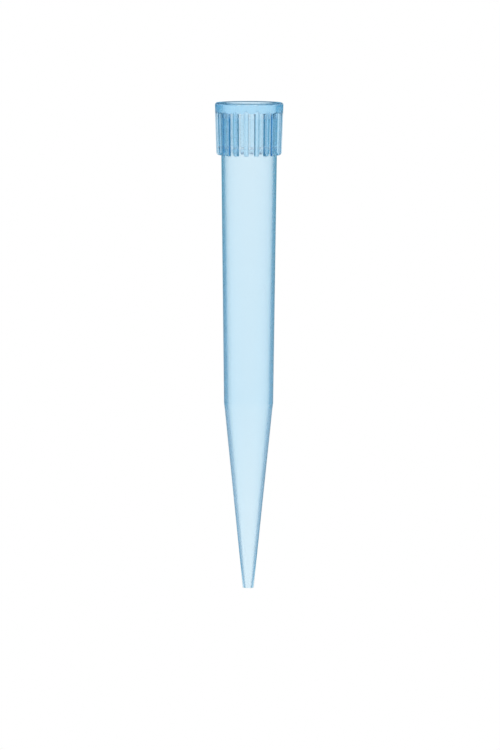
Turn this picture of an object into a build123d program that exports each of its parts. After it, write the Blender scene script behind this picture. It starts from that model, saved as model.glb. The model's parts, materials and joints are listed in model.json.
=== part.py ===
"""A 1000 microlitre pipette tip, moulded in one piece, standing on its collar.

The rim of the collar lies on z = 0 and the point is up, so +Z runs from the mouth to the orifice.
The wall is one revolved section. Round its mouth, a ring and a crown of ribs stiffen it. Inside, a
wide mouth funnels down to the land that grips a pipette's nozzle.
"""
from build123d import *
from math import radians, tan
import os

# ---- Driving dimensions, in mm and degrees ----
# Heights, measured from the rim
overall_length = 71.0  # rim to orifice
break_height = 43.9  # where the slim reservoir ends
shoulder_length = 0.9  # the quick turn from the reservoir into the steep point
collar_height = 7.7  # rim to the free ends of the ribs
ring_height = 1.5  # the plain ring round the mouth, which carries the ribs
mouth_depth = 1.4  # how far in the wide mouth reaches, before the funnel
lead_in_depth = 2.3  # where the funnel meets the nozzle seat

# The bore, from the mouth to the orifice
seat_diameter = 7.4  # the land that seals on the nozzle
seat_length = 4.0
mouth_step = 0.25  # how much wider the mouth is than the seat, on each side
stop_step = 0.1  # the step at the end of the seat that stops the nozzle, on each side
stop_length = 0.4
orifice_diameter = 0.8

# The outside and the walls
break_diameter = 7.18
shoulder_step = 0.12  # how far the shoulder turns in, on each side
body_wall = 0.46  # past the stop
break_wall = 0.57
orifice_wall = 0.4
ring_wall = 1.05  # at the rim
collar_draft = 1.9  # how far the collar's outside leans in, in degrees
rib_count = 18
rib_width = 0.6
rib_end_radius = 0.4  # the rounded corner at a rib's free end
rim_radius = 0.35  # both edges of the rim

# ---- Radii and heights that follow ----
seat_r = seat_diameter / 2
mouth_r = seat_r + mouth_step
rim_r = mouth_r + ring_wall
reservoir_r = seat_r - stop_step
break_r = break_diameter / 2
orifice_r = orifice_diameter / 2
seat_end = lead_in_depth + seat_length
reservoir_start = seat_end + stop_length


def collar_radius(z):
    """Outside radius of the drafted collar, ring and ribs alike, at height z."""
    return rim_r - z * tan(radians(collar_draft))


def socket_radius(z):
    """Radius of the bore at height z, in the mouth, the funnel and the seat."""
    share = (lead_in_depth - z) / (lead_in_depth - mouth_depth)
    return seat_r + mouth_step * min(1, max(0, share))


def wall_radius(z):
    """Outside radius of the plain wall between the ring and the break, at height z."""
    top_r = reservoir_r + body_wall
    share = (z - reservoir_start) / (break_height - reservoir_start)
    return top_r + share * (break_r - top_r)


def section(points, rounded=(), radius=0.0):
    """A closed section in the XZ plane from (r, z) points, with the corners listed in rounded filleted."""
    face = make_face(Plane.XZ * Polyline(*points, close=True))
    corners = [v for v in face.vertices() if any(abs(v.X - r) + abs(v.Z - z) < 1e-6 for r, z in rounded)]
    return fillet(corners, radius) if corners else face


def body():
    """The wall, from the ring round the mouth to the orifice, with its bore."""
    rim_corners = [(mouth_r, 0), (rim_r, 0)]
    outside = [
        (collar_radius(ring_height), ring_height),
        (wall_radius(ring_height), ring_height),
        (break_r, break_height),
        (break_r - shoulder_step, break_height + shoulder_length),
        (orifice_r + orifice_wall, overall_length),
    ]
    bore = [
        (orifice_r, overall_length),
        (break_r - break_wall, break_height),
        (reservoir_r, reservoir_start),
        (seat_r, seat_end),
        (seat_r, lead_in_depth),
        (mouth_r, mouth_depth),
    ]
    return revolve(section(rim_corners + outside + bore, rim_corners, rim_radius), Axis.Z)


def rib_crown():
    """The ribs, as radial slabs of the ring that their drafted outside and rounded ends would sweep.

    Their roots reach half way into the wall behind them, and they start half way into the ring.
    """
    def root(z):
        return (socket_radius(z) + wall_radius(z)) / 2

    start = ring_height / 2
    end = collar_height
    end_corner = (collar_radius(end), end)
    outline = [(root(start), start), (collar_radius(start), start), end_corner, (root(end), end)]
    sweep = revolve(section(outline, [end_corner], rib_end_radius), Axis.Z)
    slab = Pos(rim_r / 2, 0, end / 2) * Box(rim_r, rib_width, end)
    return [sweep & (Rot(0, 0, -90 + 360 / rib_count * i) * slab) for i in range(rib_count)]


def tip():
    """The whole moulding, as one solid."""
    return body() + rib_crown()


os.makedirs("parts", exist_ok=True)
export_step(tip(), "parts/tip.step")
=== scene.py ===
"""The looks of a blue 1000 microlitre pipette tip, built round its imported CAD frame.

The tip stands on its collar's rim at z = 0 with its point up, in metres. One lathed and ribbed shell of
dyed polypropylene replaces the CAD solid. The camera is rolled half a turn, so that its picture has the
collar at the top and the point at the bottom.
"""
import json
import logging
import math
from collections.abc import Callable
from dataclasses import dataclass, field
from enum import Enum

import bmesh
import bpy
from mathutils import Matrix, Vector


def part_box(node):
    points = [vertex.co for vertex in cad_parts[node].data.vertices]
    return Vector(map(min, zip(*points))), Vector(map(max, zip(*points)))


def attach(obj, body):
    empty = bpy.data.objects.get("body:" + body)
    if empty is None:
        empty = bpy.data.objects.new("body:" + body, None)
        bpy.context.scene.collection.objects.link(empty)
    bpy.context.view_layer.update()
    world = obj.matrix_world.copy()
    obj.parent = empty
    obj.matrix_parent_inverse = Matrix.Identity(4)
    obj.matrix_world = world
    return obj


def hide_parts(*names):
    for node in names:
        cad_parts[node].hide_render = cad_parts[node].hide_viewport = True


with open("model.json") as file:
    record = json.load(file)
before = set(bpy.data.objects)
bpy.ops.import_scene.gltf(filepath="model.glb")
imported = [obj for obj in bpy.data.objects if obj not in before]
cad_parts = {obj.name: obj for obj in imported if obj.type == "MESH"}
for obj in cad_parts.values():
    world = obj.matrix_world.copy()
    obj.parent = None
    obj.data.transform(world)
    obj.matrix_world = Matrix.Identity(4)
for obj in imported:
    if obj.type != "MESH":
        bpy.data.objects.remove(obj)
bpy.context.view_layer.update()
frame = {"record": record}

MM = 0.001
TINY = 0.001 * MM
WELD = 0.005 * MM

# How far the surface turns at an edge, in radians
STRAIGHT = math.radians(0.3)  # less than this is no crease
SMOOTH = math.radians(35)  # up to this is shaded smooth
STEEP = math.radians(40)  # more than this is bevelled

LEEWAY = 1.01  # widens a test of an angle, so that what lies on its limit passes
FULL_WEIGHT = 100  # lets the largest face at a vertex set its normal
KEY_POWER = 1.6  # in watts

log = logging.getLogger("pipette_tip")

Point = tuple[float, float]
Place = tuple[float, float, float]
Colour = tuple[float, float, float]
Socket = bpy.types.NodeSocket


class Ray(Enum):
    """The kinds of ray that show what is behind or around the tip, rather than light it."""

    CAMERA = "Is Camera Ray"
    GLOSSY = "Is Glossy Ray"
    TRANSMISSION = "Is Transmission Ray"


class Element(Enum):
    """What is picked out in edit mode."""

    VERTEX = "VERT"
    FACE = "FACE"


# ---- Small helpers ----


def arc(centre: Point, radius: float, start: float, end: float, steps: int) -> list[Point]:
    """Points on a round corner of a section.

    Args:
        centre: the arc's centre, as (r, z) in metres.
        radius: its radius in metres.
        start: the first point's angle in degrees, from +r towards +z.
        end: the last point's angle in degrees.
        steps: how many segments the arc has.

    Returns:
        The arc's points in order, both ends included.
    """
    angles = [math.radians(start + (end - start) * i / steps) for i in range(steps + 1)]
    return [(centre[0] + radius * math.cos(a), centre[1] + radius * math.sin(a)) for a in angles]


def supported(corners: list[Point], gap: float) -> list[Point]:
    """Adds a point just before and just after each shallow corner of a closed section.

    The extra rings of vertices keep a shallow crease crisp once the surface is shaded smooth. Steep
    corners are bevelled later and need none, and a short side has no room for them.

    Args:
        corners: the section's corners in order.
        gap: how far from its corner an added point lies.

    Returns:
        The corners with the added points among them.
    """
    points = []
    for i, corner in enumerate(corners):
        here = Vector(corner)
        back = Vector(corners[i - 1]) - here
        ahead = Vector(corners[(i + 1) % len(corners)]) - here
        shallow = STRAIGHT < math.pi - back.angle(ahead) < STEEP
        room_back, room_ahead = [shallow and side.length > 3 * gap for side in (back, ahead)]
        if room_back:
            points.append(tuple(here + back.normalized() * gap))
        points.append(corner)
        if room_ahead:
            points.append(tuple(here + ahead.normalized() * gap))
    return points


def select(obj: bpy.types.Object, kind: Element, wanted: Callable[[Vector], bool]) -> None:
    """Selects the vertices or faces of a mesh in edit mode whose place passes a test, and nothing else.

    Args:
        obj: the mesh object, in edit mode.
        kind: vertices or faces.
        wanted: takes a vertex's place or a face's centre and says whether it is selected.
    """
    bpy.ops.mesh.select_mode(type=kind.value)
    bpy.ops.mesh.select_all(action="DESELECT")
    mesh = bmesh.from_edit_mesh(obj.data)
    for item in mesh.verts if kind is Element.VERTEX else mesh.faces:
        place = item.co if kind is Element.VERTEX else item.calc_center_median()
        if wanted(place):
            item.select_set(True)
    bmesh.update_edit_mesh(obj.data)


def apply_modifier(obj: bpy.types.Object, kind: str, **settings: object) -> None:
    """Adds a modifier with its settings and applies it.

    Args:
        obj: the active mesh object, in object mode.
        kind: the modifier's type.
        settings: values for the modifier's own properties.
    """
    modifier = obj.modifiers.new(kind.title(), kind)
    for name, value in settings.items():
        setattr(modifier, name, value)
    bpy.ops.object.modifier_apply(modifier=modifier.name)


class Nodes:
    """A node tree that is being filled, with short calls for adding and joining nodes."""

    def __init__(self, tree: bpy.types.NodeTree) -> None:
        """Takes a tree and empties it."""
        self.tree = tree
        tree.nodes.clear()

    def add(
        self, kind: str, settings: dict[str, object] | None = None, **inputs: object
    ) -> bpy.types.Node:
        """Adds a node and fills its inputs.

        Args:
            kind: the node's type name.
            settings: the node's own properties, such as its operation.
            inputs: values, or sockets to link from, under the input's name with _ for a space, or under
                in0, in1 and so on for an input by its place.

        Returns:
            The new node.
        """
        node = self.tree.nodes.new(kind)
        for name, value in (settings or {}).items():
            setattr(node, name, value)
        for name, value in inputs.items():
            by_place = name[:2] == "in" and name[2:].isdigit()
            socket = node.inputs[int(name[2:]) if by_place else name.replace("_", " ")]
            if isinstance(value, Socket):
                self.tree.links.new(value, socket)
            else:
                socket.default_value = value
        return node

    def maths(self, operation: str, *values: float | Socket) -> Socket:
        """The result of a Math node on one to three values or sockets."""
        inputs = {f"in{i}": value for i, value in enumerate(values)}
        return self.add("ShaderNodeMath", {"operation": operation}, **inputs).outputs[0]

    def fade(self, value: Socket, start: float, end: float, low: float, high: float) -> Socket:
        """Passes smoothly from one level to another.

        Args:
            value: what it depends on.
            start: the value up to which the level is low.
            end: the value from which the level is high.
            low: the first level.
            high: the second level.

        Returns:
            The level.
        """
        smooth = {"interpolation_type": "SMOOTHSTEP"}
        ends = {"in1": start, "in2": end, "in3": low, "in4": high}
        return self.add("ShaderNodeMapRange", smooth, in0=value, **ends).outputs[0]

    def noise(self, place: Socket, size: float, detail: float) -> Socket:
        """A noise between 0 and 1 at a place, with patches of a given size in metres."""
        return self.add("ShaderNodeTexNoise", Vector=place, Scale=1 / size, Detail=detail).outputs["Fac"]

    def spread(self, noise: Socket, middle: float, share: float) -> Socket:
        """A value that the noise moves by a share of itself to each side of its middle."""
        return self.maths("MULTIPLY_ADD", noise, 2 * share * middle, middle * (1 - share))

    def shader(self, kind: str, colour: Colour, **inputs: object) -> Socket:
        """The output of a shader of one plain colour, with its other inputs."""
        return self.add(kind, Color=(*colour, 1.0), **inputs).outputs[0]

    def mix(self, share: Socket, first: Socket, second: Socket) -> Socket:
        """A mix of two shaders, in which the second has the given share."""
        return self.add("ShaderNodeMixShader", in0=share, in1=first, in2=second).outputs[0]

    def sum(self, first: Socket, second: Socket) -> Socket:
        """Two shaders on top of each other."""
        return self.add("ShaderNodeAddShader", in0=first, in1=second).outputs[0]

    def any_ray(self, rays: tuple[Ray, ...] = tuple(Ray)) -> Socket:
        """Tells kinds of ray apart.

        Args:
            rays: the kinds that are wanted.

        Returns:
            A socket that is 1 for those kinds of ray and 0 for the rest.
        """
        path = self.add("ShaderNodeLightPath")
        total = path.outputs[rays[0].value]
        for ray in rays[1:]:
            total = self.maths("MAXIMUM", total, path.outputs[ray.value])
        return total

    def straight_ray(self) -> Socket:
        """Tells what is seen directly or through clear plastic from what is mirrored on the way.

        Returns:
            A socket that is 1 for a ray that nothing has mirrored yet and 0 for the rest.
        """
        bounces = self.add("ShaderNodeLightPath").outputs["Glossy Depth"]
        unmirrored = self.maths("LESS_THAN", bounces, 1.0)
        return self.maths("MULTIPLY", self.any_ray(), unmirrored)


# ---- Finishes ----


@dataclass(frozen=True)
class DyedPolypropylene:
    """Clear polypropylene with a little blue dye: see-through, glossy and faintly milky.

    The milkiness and the gloss vary in soft patches, and draw streaks run along the tip.
    """

    dye: Colour = (0.58, 0.855, 0.985)
    density: float = 900.0
    shadow_tint: Colour = (0.80, 0.90, 0.96)
    ior: float = 1.49
    gloss: float = 0.4
    roughness: float = 0.15
    roughness_spread: float = 0.3
    haze: Colour = (0.55, 0.78, 0.90)
    haze_share: float = 0.008
    haze_spread: float = 0.5
    patch_size: float = 3.0 * MM
    patch_detail: float = 3.0
    streak_width: float = 0.7 * MM
    streak_stretch: float = 12.0
    streak_detail: float = 2.0
    streak_depth: float = 0.004 * MM

    def material(self) -> bpy.types.Material:
        """Makes the material.

        Returns:
            A material whose dye darkens with the depth of plastic that a ray crosses.
        """
        material = bpy.data.materials.new("blue_polypropylene")
        material.use_nodes = True
        nodes = Nodes(material.node_tree)
        place = nodes.add("ShaderNodeTexCoord").outputs["Object"]
        patches = nodes.noise(place, self.patch_size, self.patch_detail)
        squash = (1, 1, 1 / self.streak_stretch)
        along = nodes.add("ShaderNodeMapping", Vector=place, Scale=squash).outputs[0]
        streaks = nodes.noise(along, self.streak_width, self.streak_detail)
        relief = nodes.add("ShaderNodeBump", Distance=self.streak_depth, Height=streaks)
        clear = nodes.add(
            "ShaderNodeBsdfPrincipled",
            Base_Color=(1.0, 1.0, 1.0, 1.0),
            Roughness=nodes.spread(patches, self.roughness, self.roughness_spread),
            IOR=self.ior,
            Specular_Tint=(self.gloss, self.gloss, self.gloss, 1.0),
            Transmission_Weight=1.0,
            Normal=relief.outputs[0],
        )
        milky = nodes.shader("ShaderNodeBsdfTranslucent", self.haze)
        haze = nodes.spread(patches, self.haze_share, self.haze_spread)
        body = nodes.mix(haze, clear.outputs[0], milky)
        lamp_light = nodes.shader("ShaderNodeBsdfTransparent", self.shadow_tint)
        shadow = nodes.add("ShaderNodeLightPath").outputs["Is Shadow Ray"]
        surface = nodes.mix(shadow, body, lamp_light)
        volume = nodes.shader("ShaderNodeVolumeAbsorption", self.dye, Density=self.density)
        nodes.add("ShaderNodeOutputMaterial", Surface=surface, Volume=volume)
        return material


@dataclass(frozen=True)
class WhiteSweep:
    """The matt white bench top: plain white to the camera, with the tip's soft shadow on it.

    It glows a little for what is seen directly, and a little more far from the tip, so that its edge melts
    into the white background. The glow that the plastic mirrors is bluish, as light that has crossed the
    tip is. Distances are in metres.
    """

    matt: Colour = (0.8, 0.8, 0.8)
    white: Colour = (1.0, 1.0, 1.0)
    lift: float = 0.5
    far_lift: float = 0.66
    fade_start: float = 0.2
    fade_end: float = 0.7
    mirrored_lift: float = 0.28
    mirrored_colour: Colour = (0.3, 0.85, 1.0)

    def material(self) -> bpy.types.Material:
        """Makes the material.

        Returns:
            A material that shows the shadow from above and is clear from below, so that the mouth of the
            standing tip can be looked into.
        """
        material = bpy.data.materials.new("white_sweep")
        material.use_nodes = True
        nodes = Nodes(material.node_tree)
        place = nodes.add("ShaderNodeTexCoord").outputs["Object"]
        away = nodes.add("ShaderNodeVectorMath", {"operation": "LENGTH"}, in0=place).outputs["Value"]
        level = nodes.fade(away, self.fade_start, self.fade_end, self.lift, self.far_lift)
        straight = nodes.straight_ray()
        mirrored = nodes.maths("SUBTRACT", nodes.any_ray(), straight)
        direct = nodes.maths("MULTIPLY", straight, level)
        indirect = nodes.maths("MULTIPLY", mirrored, self.mirrored_lift)
        glow = nodes.shader("ShaderNodeEmission", self.white, Strength=direct)
        mirrored_glow = nodes.shader("ShaderNodeEmission", self.mirrored_colour, Strength=indirect)
        matt = nodes.shader("ShaderNodeBsdfDiffuse", self.matt)
        top = nodes.sum(matt, nodes.sum(glow, mirrored_glow))
        clear = nodes.add("ShaderNodeBsdfTransparent").outputs[0]
        below = nodes.add("ShaderNodeNewGeometry").outputs["Backfacing"]
        nodes.add("ShaderNodeOutputMaterial", Surface=nodes.mix(below, top, clear))
        return material


# ---- The tip ----


@dataclass
class PipetteTip:
    """The one-piece tip: a lathed wall with a ring round its mouth and a crown of ribs below the ring.

    Lengths are in metres, angles in degrees, and heights are measured from the rim.
    """

    length: float
    seat_radius: float
    seat_middle: float
    seat_length: float
    rim_radius: float
    finish: DyedPolypropylene = field(default_factory=DyedPolypropylene)

    # The collar
    ring_height: float = 1.5 * MM
    collar_height: float = 7.7 * MM
    collar_draft: float = 1.9
    rim_edge: float = 0.35 * MM
    rib_count: int = 18
    rib_width: float = 0.6 * MM
    rib_end: float = 0.4 * MM

    # The bore
    mouth_step: float = 0.25 * MM
    mouth_depth: float = 1.4 * MM
    stop_step: float = 0.1 * MM
    stop_length: float = 0.4 * MM

    # The reservoir, the shoulder and the point
    body_wall: float = 0.46 * MM
    break_height: float = 43.9 * MM
    break_radius: float = 3.59 * MM
    break_wall: float = 0.57 * MM
    shoulder_step: float = 0.12 * MM
    shoulder_length: float = 0.9 * MM
    orifice_bore: float = 0.4 * MM
    orifice_wall: float = 0.4 * MM
    orifice_edge: float = 0.08 * MM
    orifice_lean: float = 6.0

    # The mesh
    edge_break: float = 0.05 * MM
    edge_break_steps: int = 3
    rim_steps: int = 5
    orifice_steps: int = 4
    rib_end_turns: tuple[float, ...] = (0, 15, 30, 45, 60, 90)
    crease_support: float = 0.12 * MM
    columns: int = 16
    rib_columns: int = 6

    @property
    def lead_in(self) -> float:
        """Height at which the funnel ends and the seat starts."""
        return self.seat_middle - self.seat_length / 2

    @property
    def reservoir_start(self) -> float:
        """Height at which the reservoir starts, past the stop."""
        return self.lead_in + self.seat_length + self.stop_length

    @property
    def half_pitch(self) -> float:
        """Half the angle from one rib to the next, in radians."""
        return math.pi / self.rib_count

    @property
    def rib_half_angle(self) -> float:
        """Half the angle of the columns that become a rib, in radians."""
        return self.half_pitch * self.rib_columns / self.columns

    def collar_radius(self, z: float) -> float:
        """Outside radius of the drafted collar at height z. It is widest where the rim's edge rounds off."""
        return self.rim_radius - (z - self.rim_edge) * math.tan(math.radians(self.collar_draft))

    def wall_radius(self, z: float) -> float:
        """Outside radius of the plain wall, which narrows evenly from the seat to the break.

        Args:
            z: a height up to the break.

        Returns:
            The radius at that height.
        """
        start = self.seat_radius - self.stop_step + self.body_wall
        share = (z - self.reservoir_start) / (self.break_height - self.reservoir_start)
        return start - (start - self.break_radius) * share

    def rib_face(self, z: float) -> float:
        """Outside radius of a rib at height z, rounded off at its free end."""
        over = max(0.0, z - self.collar_height + self.rib_end)
        return self.collar_radius(z) - self.rib_end + math.sqrt(max(0.0, self.rib_end**2 - over**2))

    def rib_heights(self) -> list[float]:
        """The heights of a rib's rings of vertices.

        Returns:
            The ring's height, and one height for each step round the corner of the free end.
        """
        rises = [self.rib_end * math.sin(math.radians(turn)) for turn in self.rib_end_turns]
        ends = [self.collar_height - self.rib_end + rise for rise in rises]
        return [self.ring_height, *ends]

    def outline(self) -> list[Point]:
        """The wall's closed section.

        Returns:
            Its corners as (r, z), from the rim's outer edge up the outside, over the orifice and down the
            bore to the rim's inner edge, with a support on each side of every shallow corner.
        """
        edge, nose, lean = self.rim_edge, self.orifice_edge, self.orifice_lean
        nose_height = self.length - nose
        nose_outside = self.orifice_bore + self.orifice_wall - nose
        nose_inside = self.orifice_bore + nose
        mouth = self.seat_radius + self.mouth_step
        clear_of_ribs = self.collar_height + 2 * self.crease_support
        corners = [
            *arc((self.rim_radius - edge, edge), edge, -90, 0, self.rim_steps),
            (self.collar_radius(self.ring_height), self.ring_height),
            *[(self.wall_radius(z), z) for z in self.rib_heights()],
            (self.wall_radius(clear_of_ribs), clear_of_ribs),
            (self.break_radius, self.break_height),
            (self.break_radius - self.shoulder_step, self.break_height + self.shoulder_length),
            *arc((nose_outside, nose_height), nose, lean, 90, self.orifice_steps),
            *arc((nose_inside, nose_height), nose, 90, 180 - lean, self.orifice_steps),
            (self.break_radius - self.break_wall, self.break_height),
            (self.seat_radius - self.stop_step, self.reservoir_start),
            (self.seat_radius, self.lead_in + self.seat_length),
            (self.seat_radius, self.lead_in),
            (mouth, self.mouth_depth),
            *arc((mouth + edge, edge), edge, 180, 270, self.rim_steps),
        ]
        return supported(corners, self.crease_support)

    def in_rib(self, place: Vector) -> bool:
        """Says whether a place is in the columns that become the rib, their edges included."""
        return abs(math.atan2(place.x, -place.y)) < self.rib_half_angle * LEEWAY

    def lathe_sector(self) -> bpy.types.Object:
        """Draws the section, spins it through one rib's pitch and centres it on the side that faces -Y.

        Returns:
            The open sector, in edit mode.
        """
        first, *rest = [Vector((0.0, -r, z)) for r, z in self.outline()]
        bpy.ops.object.select_all(action="DESELECT")
        bpy.ops.mesh.primitive_plane_add(size=MM, enter_editmode=True)
        obj = bpy.context.object
        obj.name = obj.data.name = "tip_shell"
        bpy.ops.mesh.merge(type="CENTER")
        bpy.ops.transform.translate(value=first)
        here = first
        for corner in rest:
            bpy.ops.mesh.extrude_region_move(TRANSFORM_OT_translate={"value": corner - here})
            here = corner
        select(obj, Element.VERTEX, lambda p: min((p - first).length, (p - here).length) < TINY)
        bpy.ops.mesh.edge_face_add()
        bpy.ops.mesh.select_all(action="SELECT")
        bpy.ops.transform.rotate(value=self.half_pitch, orient_axis="Z", center_override=(0, 0, 0))
        turn = -2 * self.half_pitch
        bpy.ops.mesh.spin(steps=self.columns, angle=turn, center=(0, 0, 0), axis=(0, 0, 1))
        return obj

    def raise_rib(self, obj: bpy.types.Object) -> None:
        """Pulls one rib out of the middle columns of the sector's wall and joins it to the ring.

        Args:
            obj: the sector, in edit mode.
        """
        top, end = self.ring_height, self.collar_height
        ring_radius, wall_radius = self.collar_radius(top), self.wall_radius(top)
        push = ring_radius - wall_radius
        outer = (ring_radius + wall_radius) / 2

        def in_ring(p: Vector) -> bool:
            """Says whether a place is on the rib's stretch of the ring."""
            return self.in_rib(p) and p.z < top + TINY and p.xy.length > outer

        def on_wall(p: Vector) -> bool:
            """Says whether a place is on the wall's outside where the rib stands."""
            middle = self.wall_radius(p.z) - self.body_wall / 2
            return self.in_rib(p) and middle < p.xy.length < outer and top - TINY < p.z < end + TINY

        def under_ring(p: Vector) -> bool:
            """Says whether a place is on the step between the ring and the rib."""
            return self.in_rib(p) and abs(p.z - top) < TINY

        for wanted, radius in ((in_ring, ring_radius), (on_wall, wall_radius)):
            select(obj, Element.VERTEX, wanted)
            squeeze = self.rib_width / 2 / (radius * math.sin(self.rib_half_angle))
            bpy.ops.transform.resize(value=(squeeze, 1, 1), center_override=(0, 0, 0))
        select(obj, Element.FACE, under_ring)
        bpy.ops.mesh.delete(type="FACE")
        select(obj, Element.FACE, on_wall)
        bpy.ops.mesh.extrude_region_move(TRANSFORM_OT_translate={"value": (0, -push, 0)})
        select(obj, Element.FACE, under_ring)
        bpy.ops.mesh.delete(type="FACE")
        for z in self.rib_heights()[1:]:
            select(obj, Element.VERTEX, lambda p: self.in_rib(p) and abs(p.z - z) < TINY and -p.y > outer)
            pull = push - (self.rib_face(z) - self.wall_radius(z))
            bpy.ops.transform.translate(value=(0, pull, 0))
        bpy.ops.mesh.select_all(action="SELECT")
        bpy.ops.mesh.remove_doubles(threshold=WELD)

    def repeat_round_axis(self) -> None:
        """Copies the sector, in edit mode, once for each rib and joins the copies into a closed shell."""
        bpy.ops.mesh.select_all(action="SELECT")
        turn = {"angle": math.tau, "center": (0, 0, 0), "axis": (0, 0, 1)}
        bpy.ops.mesh.spin(steps=self.rib_count, dupli=True, **turn)
        bpy.ops.mesh.select_all(action="SELECT")
        bpy.ops.mesh.remove_doubles(threshold=WELD)
        bpy.ops.mesh.normals_make_consistent(inside=False)

    def soften(self, obj: bpy.types.Object) -> None:
        """Breaks the sharp edges and shades the shell smooth, with the flat faces kept flat.

        Args:
            obj: the closed shell, in object mode.
        """
        corners = {"limit_method": "ANGLE", "angle_limit": STEEP}
        apply_modifier(obj, "BEVEL", width=self.edge_break, segments=self.edge_break_steps, **corners)
        bpy.ops.object.shade_smooth_by_angle(angle=SMOOTH)
        apply_modifier(obj, "WEIGHTED_NORMAL", keep_sharp=True, weight=FULL_WEIGHT)

    def build(self) -> bpy.types.Object:
        """Models the whole shell.

        Returns:
            The finished, dressed mesh, riding on the root body in place of the CAD node.
        """
        obj = self.lathe_sector()
        self.raise_rib(obj)
        self.repeat_round_axis()
        bpy.ops.object.mode_set(mode="OBJECT")
        self.soften(obj)
        obj.data.materials.append(self.finish.material())
        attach(obj, "root")
        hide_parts("tip")
        return obj


# ---- The studio ----


@dataclass(frozen=True)
class RoomShade:
    """A colour of the room, and the sines of the elevations where it starts and where it has taken over."""

    colour: Colour
    start: float
    full: float


@dataclass(frozen=True)
class Softbox:
    """A square lamp, with its power in watts and its width and place in metres."""

    name: str
    power: float
    width: float
    place: Place

    def hang(self, aim: Vector) -> None:
        """Hangs the lamp at its place and turns it to a point.

        Args:
            aim: the point that it lights.
        """
        lamp = bpy.data.lights.new(self.name, "AREA")
        lamp.energy = self.power
        lamp.size = self.width
        obj = bpy.data.objects.new(self.name, lamp)
        bpy.context.collection.objects.link(obj)
        obj.location = self.place
        obj.rotation_euler = (aim - obj.location).to_track_quat("-Z", "Y").to_euler()


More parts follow.
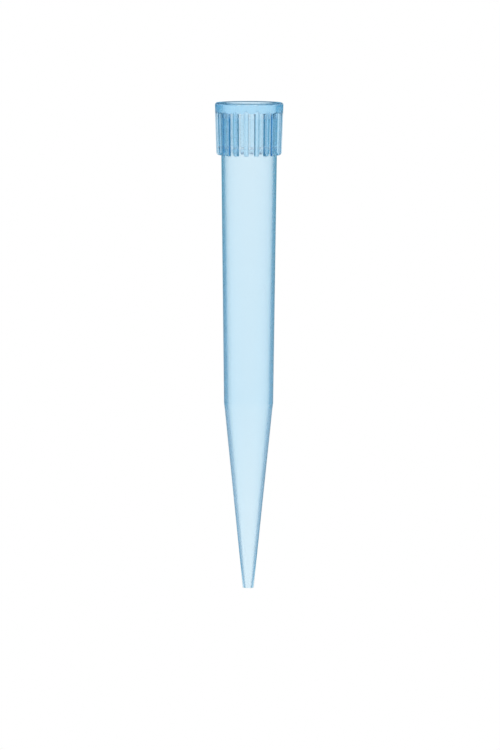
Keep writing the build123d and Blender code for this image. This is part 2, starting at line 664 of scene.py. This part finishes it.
@dataclass
class Studio:
    """The bench top, the soft light and the camera. Lengths are in metres, angles in degrees."""

    subject_height: float

    # The camera
    distance: float = 1.2
    elevation: float = -4.3
    azimuth: float = -5.5
    roll: float = 0.12
    frame_height: float = 109.49 * MM
    aim_above_middle: float = 4.32 * MM
    aim_right: float = 0.20 * MM
    sensor: float = 36.0  # in millimetres, as the camera wants it
    nearest: float = 0.01
    farthest: float = 10.0

    # The bench top
    floor_size: float = 1.6
    floor_drop: float = 0.02 * MM
    sweep: WhiteSweep = field(default_factory=WhiteSweep)

    # The light and the room
    ambient: float = 0.45
    ambient_colour: Colour = (0.95, 0.98, 1.0)
    backdrop: Colour = (1.0, 1.0, 1.0)
    backdrop_top: float = 0.4
    horizon: Colour = (0.08, 0.42, 0.58)
    room: tuple[RoomShade, ...] = (
        RoomShade((0.40, 0.52, 0.62), start=0.045, full=0.085),
        RoomShade((0.70, 0.77, 0.84), start=0.085, full=0.20),
        RoomShade((0.15, 0.25, 0.33), start=0.30, full=0.40),
    )
    lamps: tuple[Softbox, ...] = (
        Softbox("key_softbox", power=KEY_POWER, width=0.5, place=(-0.45, -0.5, 0.55)),
        Softbox("fill_softbox", power=KEY_POWER / 3, width=0.6, place=(0.6, -0.3, 0.35)),
    )

    @property
    def middle(self) -> Vector:
        """The middle of the standing tip."""
        return Vector((0, 0, self.subject_height / 2))

    def build_floor(self) -> None:
        """Lays the bench top a hair under the rim."""
        bpy.ops.object.select_all(action="DESELECT")
        bpy.ops.mesh.primitive_plane_add(size=self.floor_size, location=(0, 0, -self.floor_drop))
        floor = bpy.context.object
        floor.name = "bench_top"
        floor.data.materials.append(self.sweep.material())

    def room_colour(self, nodes: Nodes, rise: Socket) -> Socket:
        """Shades the room that the plastic mirrors, from a dim horizon through light walls to a dim ceiling.

        Args:
            nodes: the world's node tree.
            rise: the sine of the elevation that is looked at.

        Returns:
            The colour at that elevation.
        """
        colour: tuple[float, ...] | Socket = (*self.horizon, 1.0)
        for shade in self.room:
            share = nodes.fade(rise, shade.start, shade.full, 0.0, 1.0)
            colours = {"in6": colour, "in7": (*shade.colour, 1.0)}
            colour = nodes.add("ShaderNodeMix", {"data_type": "RGBA"}, in0=share, **colours).outputs[2]
        return colour

    def build_world(self) -> None:
        """Surrounds the tip with even, slightly cool light behind a plain white background.

        Through clear plastic, the white background reaches up and down to the elevation whose sine is
        backdrop_top. Above and below that, and in whatever the plastic mirrors, the room is seen.
        """
        world = bpy.data.worlds.new("studio")
        bpy.context.scene.world = world
        world.use_nodes = True
        nodes = Nodes(world.node_tree)
        way = nodes.add("ShaderNodeTexCoord").outputs["Generated"]
        rise = nodes.add("ShaderNodeSeparateXYZ", in0=way).outputs["Z"]
        light = nodes.shader("ShaderNodeBackground", self.ambient_colour, Strength=self.ambient)
        white = nodes.shader("ShaderNodeBackground", self.backdrop, Strength=1.0)
        shaded = self.room_colour(nodes, rise)
        room = nodes.add("ShaderNodeBackground", Color=shaded, Strength=1.0).outputs[0]
        level = nodes.maths("LESS_THAN", nodes.maths("ABSOLUTE", rise), self.backdrop_top)
        on_backdrop = nodes.maths("MAXIMUM", level, nodes.any_ray((Ray.CAMERA,)))
        lit = nodes.maths("MULTIPLY", nodes.straight_ray(), on_backdrop)
        behind = nodes.mix(lit, room, white)
        nodes.add("ShaderNodeOutputWorld", Surface=nodes.mix(nodes.any_ray(), light, behind))

    def build_camera(self) -> None:
        """Sets the long lens on the tip, rolled half a turn about its line of sight."""
        turn = Matrix.Rotation(math.radians(self.azimuth), 3, "Z")
        turn = turn @ Matrix.Rotation(-math.radians(self.elevation), 3, "X")
        back = turn @ Vector((0, -1, 0))
        right = turn @ Vector((-1, 0, 0))
        down = turn @ Vector((0, 0, -1))
        aim = self.middle + Vector((0, 0, self.aim_above_middle)) + right * self.aim_right
        lean = Matrix.Rotation(math.radians(self.roll), 3, back)
        axes = Matrix((lean @ right, lean @ down, back)).transposed()
        camera = bpy.data.cameras.new("camera")
        camera.sensor_width = self.sensor
        camera.lens = self.sensor * self.distance / self.frame_height
        camera.clip_start = self.nearest
        camera.clip_end = self.farthest
        obj = bpy.data.objects.new("camera", camera)
        bpy.context.collection.objects.link(obj)
        obj.matrix_world = Matrix.Translation(aim + back * self.distance) @ axes.to_4x4()
        bpy.context.scene.camera = obj

    def build(self) -> None:
        """Sets up the stage, with a large soft key lamp at the left and a weaker fill at the right."""
        self.build_floor()
        self.build_world()
        for lamp in self.lamps:
            lamp.hang(self.middle)
        self.build_camera()
        bpy.context.scene.view_settings.view_transform = "Standard"


def main() -> None:
    """Builds the tip and its studio, and reports each piece."""
    logging.basicConfig(level=logging.INFO, format="%(name)s: %(message)s")
    low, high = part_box("tip")
    seat = next(m for m in frame["record"]["mounts"] if m["name"] == "nozzle_seat")
    tip = PipetteTip(
        length=high[2] - low[2],
        seat_radius=seat["dims"]["r_mm"] * MM,
        seat_middle=seat["pos_m"][2],
        seat_length=seat["dims"]["length_mm"] * MM,
        rim_radius=(high[0] - low[0]) / 2,
    )
    shell = tip.build()
    log.info("%s: %d faces", shell.name, len(shell.data.polygons))
    Studio(subject_height=tip.length).build()
    log.info("studio: floor, world, lamps and camera")


if __name__ == "__main__":
    main()
